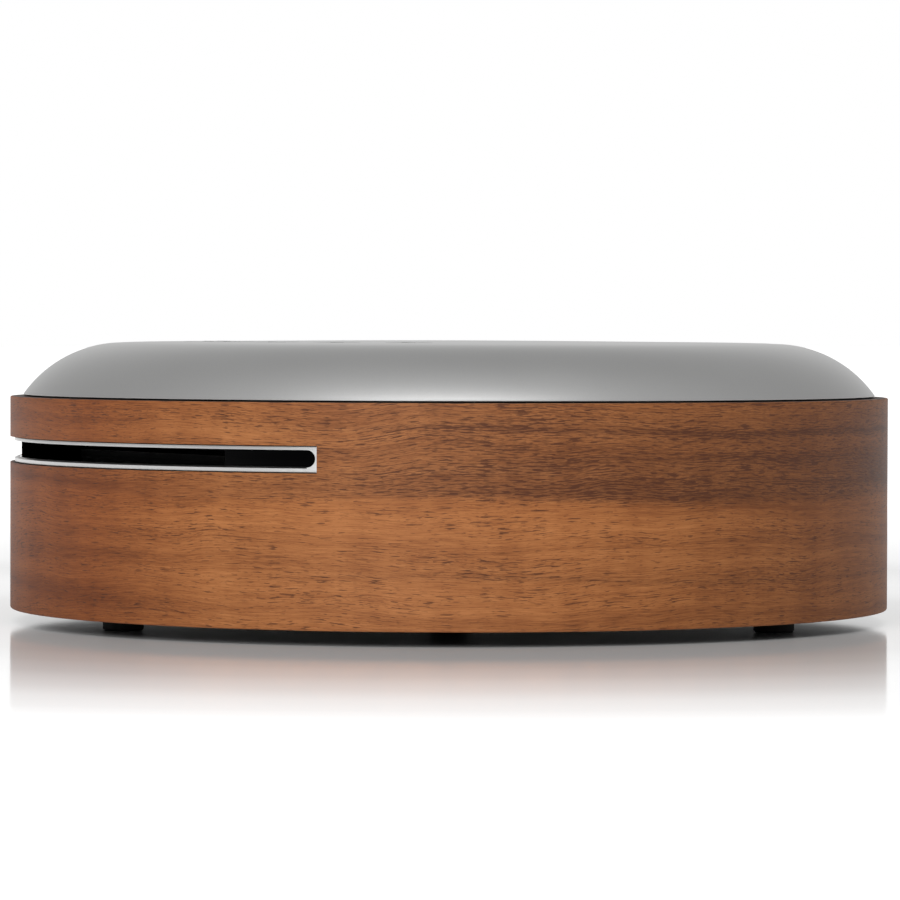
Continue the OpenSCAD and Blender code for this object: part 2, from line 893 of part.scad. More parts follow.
module clamp_arm() {
  color("#8a8d92")
    difference() {
      union() {
        linear_extrude_at(arm_z0, arm_t)
          polygon([
            [-13, -9], [13, -9], [arm_half, 40], [arm_half, arm_pivot_y - 1.4],
            [-arm_half, arm_pivot_y - 1.4], [-arm_half, 40]
          ]);
        rod_along_x(arm_pivot_y, arm_z0 + arm_t / 2, 1.4, -arm_half, arm_half);
        block([-arm_half, arm_half], [arm_pivot_y - 2, arm_pivot_y], [arm_z0, arm_z0 + arm_t]);
      }
      translate([0, spindle_y, 0])
        disc(6.3, arm_z0 - 1, arm_z0 + 3);
      rod_along_x(arm_pivot_y, arm_z0 + arm_t / 2, 0.85, -20, 20);
    }
}

module linear_extrude_at(z, thickness) {
  translate([0, 0, z])
    linear_extrude(height = thickness)
      children();
}

module clamp_puck() {
  color("#e2e2df")
    translate([0, spindle_y, 0])
      rotate_extrude()
        polygon([
          [8, arm_z0 - 1.9], [12.5, arm_z0 - 1.9], [12.5, arm_z0 - 0.3], [5.9, arm_z0 - 0.3],
          [5.9, arm_z0 + arm_t + 0.3], [8, arm_z0 + arm_t + 0.3], [8, arm_z0 + arm_t + 1],
          [0, arm_z0 + arm_t + 1], [0, arm_z0 - 0.8], [8, arm_z0 - 0.8]
        ]);
}

module pickup_sled() {
  color("#2f3236")
    difference() {
      union() {
        block([sled_x0, sled_x1], [spindle_y - 19, spindle_y + 19], [sled_z0, sled_z1]);
        difference() {
          block([-5, sled_x1], [rack_pitch_y + 0.5, spindle_y - 19 + e], [rack_z0, rack_z1]);
          block([-10, sled_x0 - e], [spindle_y - 20.5, spindle_y + 1], [30, 45]);
        }
        rack_teeth();
      }
      for (y = rod_y)
        rod_along_x(y, rod_z, rod_r + 0.05, -20, 80);
      translate([lens_x, spindle_y, 0])
        disc(5, sled_z1 - 2.5, sled_z1 + 3);
    }
}

// Teeth on the side of the rack, with a gap facing the gear at rest
module rack_teeth() {
  pitch = PI * gear_m;
  half_tip = pitch / 4 - 0.09 - 0.75 * gear_m * tan(22);
  half_root = pitch / 4 - 0.09 + 0.95 * gear_m * tan(22);
  first = ceil((-5 + 1 - sled_gear_x) / pitch);
  last = floor((sled_x1 - 1 - sled_gear_x) / pitch) - 1;
  translate([0, 0, rack_z0])
    linear_extrude(height = rack_z1 - rack_z0)
      for (i = [first:last])
        translate([sled_gear_x + (i + 0.5) * pitch, rack_pitch_y])
          polygon([
            [-half_root, 0.95 * gear_m + e], [-half_tip, -0.75 * gear_m],
            [half_tip, -0.75 * gear_m], [half_root, 0.95 * gear_m + e]
          ]);
}

module pickup_lens() {
  color("#7fa7c4")
    translate([lens_x, spindle_y, 0]) {
      disc(4.6, sled_z1 - 1.2, sled_z1 + 0.6);
      translate([0, 0, sled_z1 - 0.4])
        intersection() {
          sphere(r = 2.6);
          disc(5, 0.2, 5);
        }
    }
}

module sled_gear() {
  color("#d8d4c6")
    translate([sled_gear_x, sled_gear_y, 36.2])
      gear(sled_gear_teeth, 2.6, 1.55);
}

module sled_motor() {
  color("#b4b6b8")
    translate([sled_pinion_x, sled_gear_y, 0])
      difference() {
        disc(motor_r, drive_z0 + drive_wall, 35);
        disc(0.8, 30, 40);
      }
}

module sled_pinion() {
  color("#d8d4c6")
    translate([sled_pinion_x, sled_gear_y, 0]) {
      translate([0, 0, 36.2])
        rotate([0, 0, 180 / sled_pinion_teeth])
          gear(sled_pinion_teeth, 2.6, 0.7);
      disc(0.75, 30.5, 38.8);
    }
}

cabinet_core();
walnut_veneer();
top_cover();
top_gasket();
slot_trim();
slot_mask();
dust_felts();
base_plate();
base_screws();
cover_screws();
foot(-90);  // foot_front
foot(150);  // foot_left
foot(30);  // foot_right
key(-3);  // key_power
key(-2);  // key_volume_down
key(-1);  // key_previous
key(0);  // key_play
key(1);  // key_next
key(2);  // key_volume_up
key(3);  // key_eject
light_pipe();
control_board();
key_switches();
board_screws();
rear_panel();
rear_screws();
rca_shell(row_high);  // rca_left
rca_shell(row_low);  // rca_right
rca_collar(row_high, "#e6e4dd");  // rca_collar_left
rca_collar(row_low, "#b3261f");  // rca_collar_right
optical_jack();
optical_shutter();
aux_jack();
dc_jack();
switch_housing();
power_rocker();
pairing_button();
jack_board();
main_board();
board_parts();
wireless_module();
drive_chassis();
drive_lid();
drive_dampers();
drive_screws();
loading_motor();
motor_pinion();
reduction_gear();
loading_roller();
roller_shaft();
traverse_frame();
spindle_motor();
turntable();
clamp_arm();
clamp_puck();
pickup_sled();
pickup_lens();
sled_gear();
sled_motor();
sled_pinion();
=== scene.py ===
import bpy
import bmesh
import json
import math
from mathutils import Matrix, Vector


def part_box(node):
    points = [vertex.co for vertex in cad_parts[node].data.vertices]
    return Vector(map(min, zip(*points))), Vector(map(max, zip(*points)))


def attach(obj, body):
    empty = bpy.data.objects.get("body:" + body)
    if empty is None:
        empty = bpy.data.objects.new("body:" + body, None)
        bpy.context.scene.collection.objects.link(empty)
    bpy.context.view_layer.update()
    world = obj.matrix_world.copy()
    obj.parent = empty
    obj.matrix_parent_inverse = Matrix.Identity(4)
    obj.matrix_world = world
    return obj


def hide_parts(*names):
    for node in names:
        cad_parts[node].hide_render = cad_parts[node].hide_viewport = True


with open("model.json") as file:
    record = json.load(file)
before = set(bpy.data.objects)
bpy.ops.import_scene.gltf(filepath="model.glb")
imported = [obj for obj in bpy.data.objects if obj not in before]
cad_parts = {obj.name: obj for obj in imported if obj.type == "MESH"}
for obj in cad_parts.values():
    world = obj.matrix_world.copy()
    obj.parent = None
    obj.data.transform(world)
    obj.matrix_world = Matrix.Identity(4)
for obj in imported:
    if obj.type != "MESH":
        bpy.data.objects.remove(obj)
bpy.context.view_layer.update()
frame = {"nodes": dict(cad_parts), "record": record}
nodes = frame["nodes"]

MM = 0.001


# ---------------------------------------------------------------- sizes

wall_low, wall_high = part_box("walnut_veneer")
trim_low, trim_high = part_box("slot_trim")
cap_low, cap_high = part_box("top_cover")

BODY_R = wall_high.x
WALL_Z0 = wall_low.z
WALL_Z1 = wall_high.z
VENEER_T = 0.6 * MM
TRIM_R = -trim_low.y
TRIM_T = 1.25 * MM
TRIM_HALF = math.asin(trim_high.x / TRIM_R)
OPEN_Z0 = trim_low.z + 1.4 * MM
OPEN_Z1 = trim_high.z - 1.0 * MM
OPEN_END = TRIM_HALF - math.radians(0.3)
TRAY_HALF = 45.8 * MM
TRAY_Z0 = WALL_Z0 + 6.2 * MM
TRAY_Z1 = WALL_Z0 + 41.8 * MM
CAP_Z0 = WALL_Z1 + 0.5 * MM
SHOULDER_R = 34.25 * MM
SHOULDER_X = BODY_R - 31.76 * MM
SHOULDER_Z = WALL_Z1 - 19.04 * MM
CROWN_EDGE = SHOULDER_X + 2.06 * MM
CROWN_RISE = 0.85 * MM
CAP_T = 2.5 * MM
SPIGOT_R = BODY_R - 10.4 * MM
KEY_NODES = ["key_power", "key_volume_down", "key_previous", "key_play",
             "key_next", "key_volume_up", "key_eject"]


def crown_z(r):
    edge = SHOULDER_Z + math.sqrt(SHOULDER_R ** 2 - (CROWN_EDGE - SHOULDER_X) ** 2)
    t = r / CROWN_EDGE
    return edge + (CROWN_RISE + 2.0 * MM * t ** 8) * (1 - t * t)


# ---------------------------------------------------------------- camera

AZIMUTH = math.radians(60)
EYE_DISTANCE = 11.579 * BODY_R
EYE_HEIGHT = 84.9 * MM
TILT = math.radians(1.434)
YAW = math.radians(-0.011)
ROLL = math.radians(0.156)

camera = bpy.data.objects.new("camera", bpy.data.cameras.new("camera"))
bpy.context.scene.collection.objects.link(camera)
camera.data.sensor_width = 36
camera.data.lens = 202.5
camera.data.clip_start = 0.05
camera.matrix_world = (
    Matrix.Translation((math.sin(AZIMUTH) * EYE_DISTANCE, -math.cos(AZIMUTH) * EYE_DISTANCE, EYE_HEIGHT))
    @ Matrix.Rotation(AZIMUTH + YAW, 4, "Z")
    @ Matrix.Rotation(math.pi / 2 - TILT, 4, "X")
    @ Matrix.Rotation(ROLL, 4, "Z")
)
bpy.context.scene.camera = camera


# ---------------------------------------------------------------- node graphs

class Graph:
    """A material's node tree, with short ways to add nodes and join them."""

    def __init__(self, name):
        self.material = bpy.data.materials.new(name)
        self.material.use_nodes = True
        self.tree = self.material.node_tree
        self.tree.nodes.clear()
        self.out = self.tree.nodes.new("ShaderNodeOutputMaterial")
        self.shader = self.tree.nodes.new("ShaderNodeBsdfPrincipled")
        self.join(self.shader.outputs[0], self.out.inputs[0])
        self.position = self.add("ShaderNodeTexCoord").outputs["Object"]

    def add(self, kind, **settings):
        made = self.tree.nodes.new(kind)
        for key, value in settings.items():
            setattr(made, key, value)
        return made

    def join(self, source, target):
        self.tree.links.new(source, target)

    def feed(self, target, value):
        if isinstance(value, bpy.types.NodeSocket):
            self.join(value, target)
        else:
            target.default_value = value

    def math(self, operation, a, b=0.0, c=None, clamp=False):
        made = self.add("ShaderNodeMath", operation=operation, use_clamp=clamp)
        self.feed(made.inputs[0], a)
        self.feed(made.inputs[1], b)
        if c is not None:
            self.feed(made.inputs[2], c)
        return made.outputs[0]

    def split(self, vector):
        made = self.add("ShaderNodeSeparateXYZ")
        self.join(vector, made.inputs[0])
        return made.outputs

    def combine(self, x, y, z):
        made = self.add("ShaderNodeCombineXYZ")
        for target, value in zip(made.inputs, (x, y, z)):
            self.feed(target, value)
        return made.outputs[0]

    def scaled(self, vector, scale, move=(0, 0, 0)):
        made = self.add("ShaderNodeMapping")
        self.join(vector, made.inputs["Vector"])
        made.inputs["Scale"].default_value = scale
        made.inputs["Location"].default_value = move
        return made.outputs[0]

    def noise(self, vector, scale, detail=3.0, rough=0.5, distortion=0.0):
        made = self.add("ShaderNodeTexNoise")
        self.join(vector, made.inputs["Vector"])
        made.inputs["Scale"].default_value = scale
        made.inputs["Detail"].default_value = detail
        made.inputs["Roughness"].default_value = rough
        made.inputs["Distortion"].default_value = distortion
        return made.outputs["Fac"]

    def ramp(self, value, stops):
        made = self.add("ShaderNodeValToRGB")
        self.join(value, made.inputs[0])
        elements = made.color_ramp.elements
        while len(elements) < len(stops):
            elements.new(0.5)
        for element, (place, colour) in zip(elements, stops):
            element.position = place
            element.color = (*colour, 1) if len(colour) == 3 else colour
        return made.outputs[0]

    def limits(self, value, low, high, out_low=0.0, out_high=1.0):
        made = self.add("ShaderNodeMapRange")
        self.join(value, made.inputs[0])
        for index, number in enumerate((low, high, out_low, out_high), 1):
            made.inputs[index].default_value = number
        return made.outputs[0]

    def mix(self, factor, a, b, blend="MIX"):
        made = self.add("ShaderNodeMix", data_type="RGBA", blend_type=blend)
        self.feed(made.inputs[0], factor)
        self.feed(made.inputs[6], a)
        self.feed(made.inputs[7], b)
        return made.outputs[2]

    def bump(self, height, distance, strength=1.0, below=None):
        made = self.add("ShaderNodeBump")
        made.inputs["Strength"].default_value = strength
        made.inputs["Distance"].default_value = distance
        self.join(height, made.inputs["Height"])
        if below is not None:
            self.join(below, made.inputs["Normal"])
        return made.outputs[0]

    def finish(self, colour=None, rough=None, normal=None, **sockets):
        if colour is not None:
            self.feed(self.shader.inputs["Base Color"], colour)
        if rough is not None:
            self.feed(self.shader.inputs["Roughness"], rough)
        if normal is not None:
            self.join(normal, self.shader.inputs["Normal"])
        for key, value in sockets.items():
            self.shader.inputs[key.replace("_", " ")].default_value = value
        return self.material


def linear(r, g, b):
    """sRGB values from 0 to 255 as a linear colour."""
    return tuple(((v / 255 + 0.055) / 1.055) ** 2.4 if v > 10 else v / 255 / 12.92 for v in (r, g, b))


# ---------------------------------------------------------------- materials

# Walnut from its darkest growth to its lightest
WOOD_TONES = [(108, 63, 32), (140, 84, 45), (162, 102, 57), (182, 119, 70)]
TONE_PLACES = (0.20, 0.42, 0.58, 0.80)
# The wall is darker towards both ends of the sheet, partly its own tone and partly painted shade: the
# distances round the wall where each starts and is whole, and its tint
LEFT_END_TONE_AND_SHADE = (0.07, 0.02, (0.69, 0.54, 0.41))
RIGHT_END_TONE_AND_SHADE = (0.16, 0.24, (0.73, 0.69, 0.62))
# Colours that the growth zones, light bands and pores bring
HEART_TINT = (0.52, 0.50, 0.54)
LEFT_TINT = (0.62, 0.54, 0.52)
LIGHT_TINT = (1.10, 1.09, 1.05)
WIDE_TINT = (0.62, 0.56, 0.54)
PORE_COLOUR = (78, 43, 26)
# Each set of pores: its scale, how rare and how common its dashes get, and how dark they are
PORES = [((520.0, 5200.0, 1.0), 0.66, 0.54, 0.56), ((210.0, 2700.0, 1.0), 0.67, 0.55, 0.82)]
# Lower edge of the dark growth zone, as (distance round the wall, height) in metres
ZONE_EDGE = [(-0.06, 0.0437), (0.015, 0.0400), (0.055, 0.0385), (0.13, 0.0396), (0.21, 0.0372)]
# Shade at heights above that edge in mm: right of the slot, and left of it; then how light it is
ZONE_SHADE = [(-22.5, 0.0), (-20.9, 0.42), (-20.1, 0.16), (-16.0, 0.0), (-1.6, 0.0), (1.6, 0.80), (5.0, 0.90),
              (10.0, 0.80), (14.0, 0.66), (17.0, 0.60), (18.4, 1.0), (19.6, 0.55), (26.0, 0.42)]
LEFT_SHADE = [(-33.0, 0.0), (-29.5, 0.75), (-25.0, 0.0), (-2.5, 0.0), (0.5, 0.75), (5.5, 0.1), (8.0, 0.0)]
ZONE_LIGHT = [(-14.0, 0.0), (-7.0, 0.45), (-0.6, 0.8), (0.1, 0.0)]
ZONE_SPAN = (-34.0, 26.0)


def walnut():
    """Straight-grained veneer wrapped round the drum, its seam at the rear."""
    g = Graph("walnut")
    x, y, z = g.split(g.position)
    turn = g.math("ARCTAN2", x, g.math("MULTIPLY", y, -1.0))
    along = g.math("MULTIPLY", turn, BODY_R)
    sway = g.noise(g.combine(g.math("MULTIPLY", along, 11.0), g.math("MULTIPLY", z, 14.0), 0.0), 1.0, 2.0)
    ripple = g.noise(g.combine(g.math("MULTIPLY", along, 60.0), g.math("MULTIPLY", z, 90.0), 4.0), 1.0, 2.0)
    slow = g.math("MULTIPLY_ADD", g.math("SUBTRACT", sway, 0.5), 0.012, z)
    rise = g.math("MULTIPLY_ADD", g.math("SUBTRACT", ripple, 0.5), 0.0010, slow)
    flow = g.combine(along, rise, 0.0)

    def tinted(colour, factor, tint):
        return g.mix(factor, colour, g.mix(1.0, colour, (*tint, 1), "MULTIPLY"))

    def zone(stops):
        low, high = ZONE_SPAN
        places = [((place - low) / (high - low), (value,) * 3) for place, value in stops]
        return g.ramp(height_in_zone, places)

    bands = g.noise(g.scaled(flow, (5.0, 210.0, 1.0), (3, 1, 0)), 1.0, 4.0, 0.55)
    lines = g.noise(g.scaled(flow, (26.0, 1100.0, 1.0), (4, 6, 0)), 1.0, 4.0, 0.65)
    fibre = g.noise(g.scaled(flow, (150.0, 4200.0, 1.0), (1, 7, 0)), 1.0, 2.0, 0.6)
    mottle = g.noise(g.scaled(flow, (85.0, 30.0, 1.0), (9, 2, 0)), 1.0, 3.0, 0.55)
    tone = 0.56
    for grain, amount in ((bands, 0.50), (lines, 0.50), (fibre, 0.75), (mottle, 0.32)):
        tone = g.math("MULTIPLY_ADD", g.math("SUBTRACT", grain, 0.5), amount, tone)
    colour = g.ramp(tone, [(place, linear(*wood)) for place, wood in zip(TONE_PLACES, WOOD_TONES)])

    # A dark growth zone fills the upper wall, strongest to the right of the slot
    first, last = ZONE_EDGE[0][0], ZONE_EDGE[-1][0]
    edge = g.ramp(g.limits(along, first, last), [((place - first) / (last - first), (height * 10,) * 3)
                                                 for place, height in ZONE_EDGE])
    edge = g.math("MULTIPLY_ADD", g.math("SUBTRACT", sway, 0.5), 0.002, g.math("MULTIPLY", edge, 0.1))
    above = g.math("SUBTRACT", g.math("MULTIPLY_ADD", g.math("SUBTRACT", ripple, 0.5), 0.0014, z), edge)
    height_in_zone = g.limits(above, ZONE_SPAN[0] * MM, ZONE_SPAN[1] * MM)
    streak = g.noise(g.scaled(flow, (5.0, 110.0, 1.0), (5, 3, 0)), 1.0, 4.0, 0.6)
    reach = g.math("MULTIPLY", g.limits(along, 0.06, 0.15, 0.08, 1.0), g.limits(along, 0.40, 0.30))
    heart = g.math("MULTIPLY", zone(ZONE_SHADE), reach)
    heart = g.math("MULTIPLY", heart, g.limits(streak, 0.30, 0.60, 0.55, 1.15))
    colour = tinted(colour, g.math("MULTIPLY", heart, 0.92), HEART_TINT)
    left = g.math("MULTIPLY", g.limits(along, 0.11, 0.03), g.limits(streak, 0.30, 0.60, 0.6, 1.1))
    colour = tinted(colour, g.math("MULTIPLY", zone(LEFT_SHADE), left), LEFT_TINT)
    # Darkens the wall towards both ends of the sheet: partly the veneer's own tone, partly painted shade
    for start, whole, tint in (LEFT_END_TONE_AND_SHADE, RIGHT_END_TONE_AND_SHADE):
        colour = tinted(colour, g.limits(along, start, whole), tint)
    light = g.math("MULTIPLY", zone(ZONE_LIGHT), g.limits(along, 0.30, 0.26))
    colour = tinted(colour, light, LIGHT_TINT)
    wide = g.noise(g.scaled(g.combine(along, slow, 0.0), (5.5, 62.0, 1.0), (8, 5.3, 0)), 1.0, 2.0, 0.5)
    colour = tinted(colour, g.limits(wide, 0.54, 0.70, 0.0, 0.40), WIDE_TINT)

    # Open pores: short dark dashes, thickest in the dark zone
    cluster = g.noise(g.scaled(flow, (24.0, 190.0, 1.0), (6, 1, 0)), 1.0, 3.0)
    crowd = g.math("ADD", g.limits(cluster, 0.42, 0.64, 0.05, 0.60), g.math("MULTIPLY", heart, 1.20))
    for scale, low, high, depth in PORES:
        dash = g.noise(g.scaled(flow, scale, (scale[0] / 30, 4, 0)), 1.0, 1.5, 0.4)
        least = g.math("MULTIPLY_ADD", crowd, high - low, low)
        pore = g.limits(g.math("SUBTRACT", dash, least), 0.0, 0.04)
        colour = g.mix(g.math("MULTIPLY", pore, depth), colour, (*linear(*PORE_COLOUR), 1))
    height = g.math("SUBTRACT", g.math("MULTIPLY", fibre, 0.25), pore)
    rough = g.math("MULTIPLY_ADD", fibre, 0.14, 0.44)
    return g.finish(colour, rough, g.bump(height, 0.05 * MM, 0.6), Specular_IOR_Level=0.22)


def blasted_metal(name, colour, rough):
    """Satin bead-blasted aluminium: a fine even grain with faint cloudiness."""
    g = Graph(name)
    grain = g.noise(g.position, 5200.0, 2.0, 0.6)
    cloud = g.noise(g.position, 22.0, 3.0, 0.5)
    tint = g.mix(g.limits(cloud, 0.3, 0.7), (*[c * 0.96 for c in colour], 1), (*colour, 1))
    fine = g.mix(g.limits(grain, 0.35, 0.65), (0.93, 0.93, 0.93, 1), (1, 1, 1, 1))
    tint = g.mix(1.0, tint, fine, "MULTIPLY")
    drift = g.limits(cloud, 0.2, 0.8, -0.02, 0.02)
    roughness = g.math("ADD", drift, g.limits(grain, 0.3, 0.7, rough, rough + 0.05))
    return g.finish(tint, roughness, g.bump(grain, 0.012 * MM, 0.35), Metallic=1.0)


def brushed_metal(name, colour, rough, stretch):
    """Sheet metal with lines along the axis whose stretch is lowest."""
    g = Graph(name)
    lines = g.noise(g.scaled(g.position, stretch), 1.0, 3.0, 0.6)
    cloud = g.noise(g.position, 60.0, 3.0, 0.5)
    tint = g.mix(g.limits(lines, 0.3, 0.7), (*[c * 0.84 for c in colour], 1), (*colour, 1))
    tint = g.mix(g.limits(cloud, 0.3, 0.8, 0.0, 0.25), tint, (*[c * 0.7 for c in colour], 1))
    roughness = g.limits(lines, 0.2, 0.8, rough, rough + 0.14)
    return g.finish(tint, roughness, g.bump(lines, 0.01 * MM, 0.4), Metallic=1.0)


def moulded(name, colour, rough, grain=900.0, depth=0.02 * MM, spread=0.12):
    """Moulded plastic or rubber with a fine texture and slight wear in its sheen."""
    g = Graph(name)
    fine = g.noise(g.position, grain, 3.0, 0.6)
    cloud = g.noise(g.position, 45.0, 4.0, 0.55)
    dark = (*[c * (1 - spread) for c in colour], 1)
    light = (*[min(1.0, c * (1 + spread)) for c in colour], 1)
    tint = g.mix(g.limits(cloud, 0.3, 0.7), dark, light)
    tint = g.mix(g.limits(fine, 0.3, 0.7, 0.0, 0.3), tint, (*colour, 1))
    roughness = g.math("MULTIPLY_ADD", cloud, 0.12, rough - 0.06)
    return g.finish(tint, roughness, g.bump(fine, depth, 0.5))


def polished(name, colour, rough=0.06, face_on=1.0):
    """Polished plastic: almost even, with a faint orange peel and dust."""
    g = Graph(name)
    peel = g.noise(g.position, 140.0, 2.0, 0.4)
    dust = g.noise(g.position, 3800.0, 2.0, 0.6)
    tint = g.mix(g.limits(dust, 0.66, 0.74, 0.0, 0.01), (*colour, 1), (0.2, 0.2, 0.2, 1))
    return g.finish(tint, g.limits(peel, 0.2, 0.8, rough, rough + 0.05), g.bump(peel, 0.02 * MM, 0.15),
                    Specular_Tint=(face_on, face_on, face_on, 1))


def felt():
    g = Graph("felt")
    pile = g.noise(g.position, 2600.0, 4.0, 0.7)
    tint = g.mix(pile, (0.006, 0.006, 0.006, 1), (0.030, 0.030, 0.031, 1))
    return g.finish(tint, 0.95, g.bump(pile, 0.12 * MM, 0.9), Sheen_Weight=0.4, Sheen_Roughness=0.5)


def board():
    """Solder resist with copper tracks that show through it."""
    g = Graph("circuit_board")
    x, y, z = g.split(g.position)
    brick = g.add("ShaderNodeTexBrick", offset=0.37)
    g.join(g.scaled(g.combine(x, g.math("ADD", y, z), 0.0), (70, 70, 70)), brick.inputs["Vector"])
    brick.inputs["Scale"].default_value = 4.0
    brick.inputs["Mortar Size"].default_value = 0.03
    brick.inputs["Color1"].default_value = (0.012, 0.085, 0.035, 1)
    brick.inputs["Color2"].default_value = (0.010, 0.070, 0.030, 1)
    brick.inputs["Mortar"].default_value = (0.035, 0.150, 0.060, 1)
    speck = g.noise(g.position, 700.0, 2.0, 0.5)
    tint = g.mix(g.limits(speck, 0.4, 0.6, 0.0, 0.2), brick.outputs[0], (0.008, 0.05, 0.02, 1))
    return g.finish(tint, 0.32, g.bump(brick.outputs[1], 0.03 * MM, 0.4))


def clear_acrylic():
    g = Graph("clear")
    ripple = g.noise(g.position, 300.0, 2.0, 0.5)
    roughness = g.limits(ripple, 0.3, 0.7, 0.04, 0.10)
    return g.finish((0.92, 0.97, 0.96, 1), roughness, g.bump(ripple, 0.01 * MM, 0.2),
                    Transmission_Weight=0.85, IOR=1.49)


MATERIALS = {
    "walnut": walnut(),
    "core": moulded("core", linear(58, 40, 28), 0.62, 1500.0, 0.05 * MM, 0.25),
    "cap": blasted_metal("cap", (0.62, 0.62, 0.615), 0.36),
    "trim": blasted_metal("trim", (0.66, 0.66, 0.655), 0.30),
    "key_metal": blasted_metal("key_metal", (0.60, 0.60, 0.595), 0.32),
    "gloss_black": polished("gloss_black", (0.0010, 0.0010, 0.0012), 0.05, 0.01),
    "black_plastic": moulded("black_plastic", (0.014, 0.014, 0.015), 0.50, 2200.0, 0.03 * MM),
    "black_rubber": moulded("black_rubber", (0.012, 0.012, 0.012), 0.78, 1400.0, 0.03 * MM),
    "felt": felt(),
    "black_screw": brushed_metal("black_screw", (0.05, 0.05, 0.052), 0.35, (900, 900, 60)),
    "steel_screw": brushed_metal("steel_screw", (0.62, 0.62, 0.62), 0.25, (900, 900, 60)),
    "clear": clear_acrylic(),
    "circuit_board": board(),
    "component_black": moulded("component_black", (0.02, 0.02, 0.022), 0.45, 1800.0),
    "component_tin": brushed_metal("component_tin", (0.66, 0.66, 0.66), 0.30, (60, 700, 700)),
    "nickel": brushed_metal("nickel", (0.70, 0.68, 0.64), 0.12, (500, 500, 500)),
    "white_plastic": moulded("white_plastic", linear(228, 225, 216), 0.34, 900.0, 0.01 * MM, 0.04),
    "red_plastic": moulded("red_plastic", linear(178, 34, 26), 0.34, 900.0, 0.01 * MM, 0.06),
    "grey_button": moulded("grey_button", linear(150, 150, 147), 0.40, 900.0, 0.01 * MM, 0.06),
    "zinc_sheet": brushed_metal("zinc_sheet", (0.52, 0.54, 0.56), 0.30, (40, 900, 900)),
    "damper_rubber": moulded("damper_rubber", linear(110, 52, 48), 0.70, 1200.0),
    "motor_can": brushed_metal("motor_can", (0.62, 0.63, 0.64), 0.24, (30, 800, 800)),
    "acetal": moulded("acetal", linear(220, 214, 198), 0.42, 900.0, 0.01 * MM, 0.05),
    "roller_rubber": moulded("roller_rubber", (0.022, 0.022, 0.022), 0.82, 1600.0),
    "shaft_steel": brushed_metal("shaft_steel", (0.66, 0.67, 0.68), 0.16, (40, 900, 900)),
    "clear_grey": moulded("clear_grey", linear(216, 217, 217), 0.28, 900.0, 0.01 * MM, 0.04),
    "dark_moulding": moulded("dark_moulding", (0.025, 0.028, 0.034), 0.48, 1500.0),
    "lens": polished("lens", linear(120, 160, 190), 0.05),
}
SLOT_OF = {part["node"]: part["material_slot"] for part in frame["record"]["subparts"]}


def dress(obj, slot):
    obj.data.materials.clear()
    obj.data.materials.append(MATERIALS[slot])


def smooth_by_angle(obj, degrees=32):
    """Smooth shading with sharp edges kept where faces meet at more than this angle."""
    mesh = obj.data
    mesh.shade_smooth()
    edit = bmesh.new()
    edit.from_mesh(mesh)
    for edge in edit.edges:
        sharp = len(edge.link_faces) == 2 and edge.calc_face_angle(0.0) > math.radians(degrees)
        edge.smooth = not sharp
    edit.to_mesh(mesh)
    edit.free()


for name, obj in nodes.items():
    dress(obj, SLOT_OF[name])


# ---------------------------------------------------------------- mesh helpers

def piece(name, mesh_or_bmesh, slot, body="cabinet"):
    """A new object from a mesh, with its finish and the body that it rides on."""
    if isinstance(mesh_or_bmesh, bmesh.types.BMesh):
        mesh = bpy.data.meshes.new(name)
        mesh_or_bmesh.to_mesh(mesh)
        mesh_or_bmesh.free()
    else:
        mesh = mesh_or_bmesh
    obj = bpy.data.objects.new(name, mesh)
    bpy.context.scene.collection.objects.link(obj)
    if slot is not None:
        dress(obj, slot)
        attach(obj, body)
    return obj


def lathe(profile, segments, start=0.0, sweep=2 * math.pi):
    """A closed outline of (radius, height) turned about Z; angles run from -Y towards +X."""
    edit = bmesh.new()
    whole = sweep >= 2 * math.pi - 1e-6
    rings = []
    for i in range(segments if whole else segments + 1):
        a = start + sweep * i / segments
        rings.append([edit.verts.new((r * math.sin(a), -r * math.cos(a), z)) for r, z in profile])
    count = len(profile)
    pairs = [(i, (i + 1) % len(rings)) for i in range(segments)]
    for i, j in pairs:
        for k in range(count):
            n = (k + 1) % count
            edit.faces.new((rings[i][k], rings[j][k], rings[j][n], rings[i][n]))
    if not whole:
        edit.faces.new(rings[0][::-1])
        edit.faces.new(rings[-1])
    bmesh.ops.remove_doubles(edit, verts=edit.verts, dist=1e-8)
    bmesh.ops.recalc_face_normals(edit, faces=edit.faces)
    return edit


def box_mesh(low, high):
    edit = bmesh.new()
    bmesh.ops.create_cube(edit, size=1.0)
    for vert in edit.verts:
        vert.co = Vector([(l + h) / 2 + c * (h - l) for l, h, c in zip(low, high, vert.co)])
    return edit


def cylinder_mesh(start, end, radius, segments=48):
    edit = bmesh.new()
    start, end = Vector(start), Vector(end)
    turn = (end - start).to_track_quat("Z", "Y").to_matrix().to_4x4()
    place = Matrix.Translation((start + end) / 2) @ turn
    bmesh.ops.create_cone(edit, cap_ends=True, segments=segments, radius1=radius, radius2=radius,
                          depth=(end - start).length, matrix=place)
    return edit


def tube_mesh(foot, r0, r1, height, segments=48):
    """An upright tube that stands on foot."""
    edit = lathe([(r0, 0), (r1, 0), (r1, height), (r0, height)], segments)
    bmesh.ops.translate(edit, verts=edit.verts, vec=foot)
    return edit


def merge(edit, other):
    """Adds the other mesh to edit and frees it."""
    mesh = bpy.data.meshes.new("part")
    other.to_mesh(mesh)
    other.free()
    edit.from_mesh(mesh)
    bpy.data.meshes.remove(mesh)


def carve(obj, cutters):
    """Cuts the cutters' meshes out of obj, for good."""
    for edit in cutters:
        cutter = piece("cutter", edit, None)
        step = obj.modifiers.new("cut", "BOOLEAN")
        step.operation = "DIFFERENCE"
        step.solver = "EXACT"
        step.object = cutter
        bake(obj)
        mesh = cutter.data
        bpy.data.objects.remove(cutter)
        bpy.data.meshes.remove(mesh)


def bake(obj):
    """Applies every modifier."""
    graph = bpy.context.evaluated_depsgraph_get()
    done = bpy.data.meshes.new_from_object(obj.evaluated_get(graph))
    old = obj.data
    obj.modifiers.clear()
    obj.data = done
    bpy.data.meshes.remove(old)


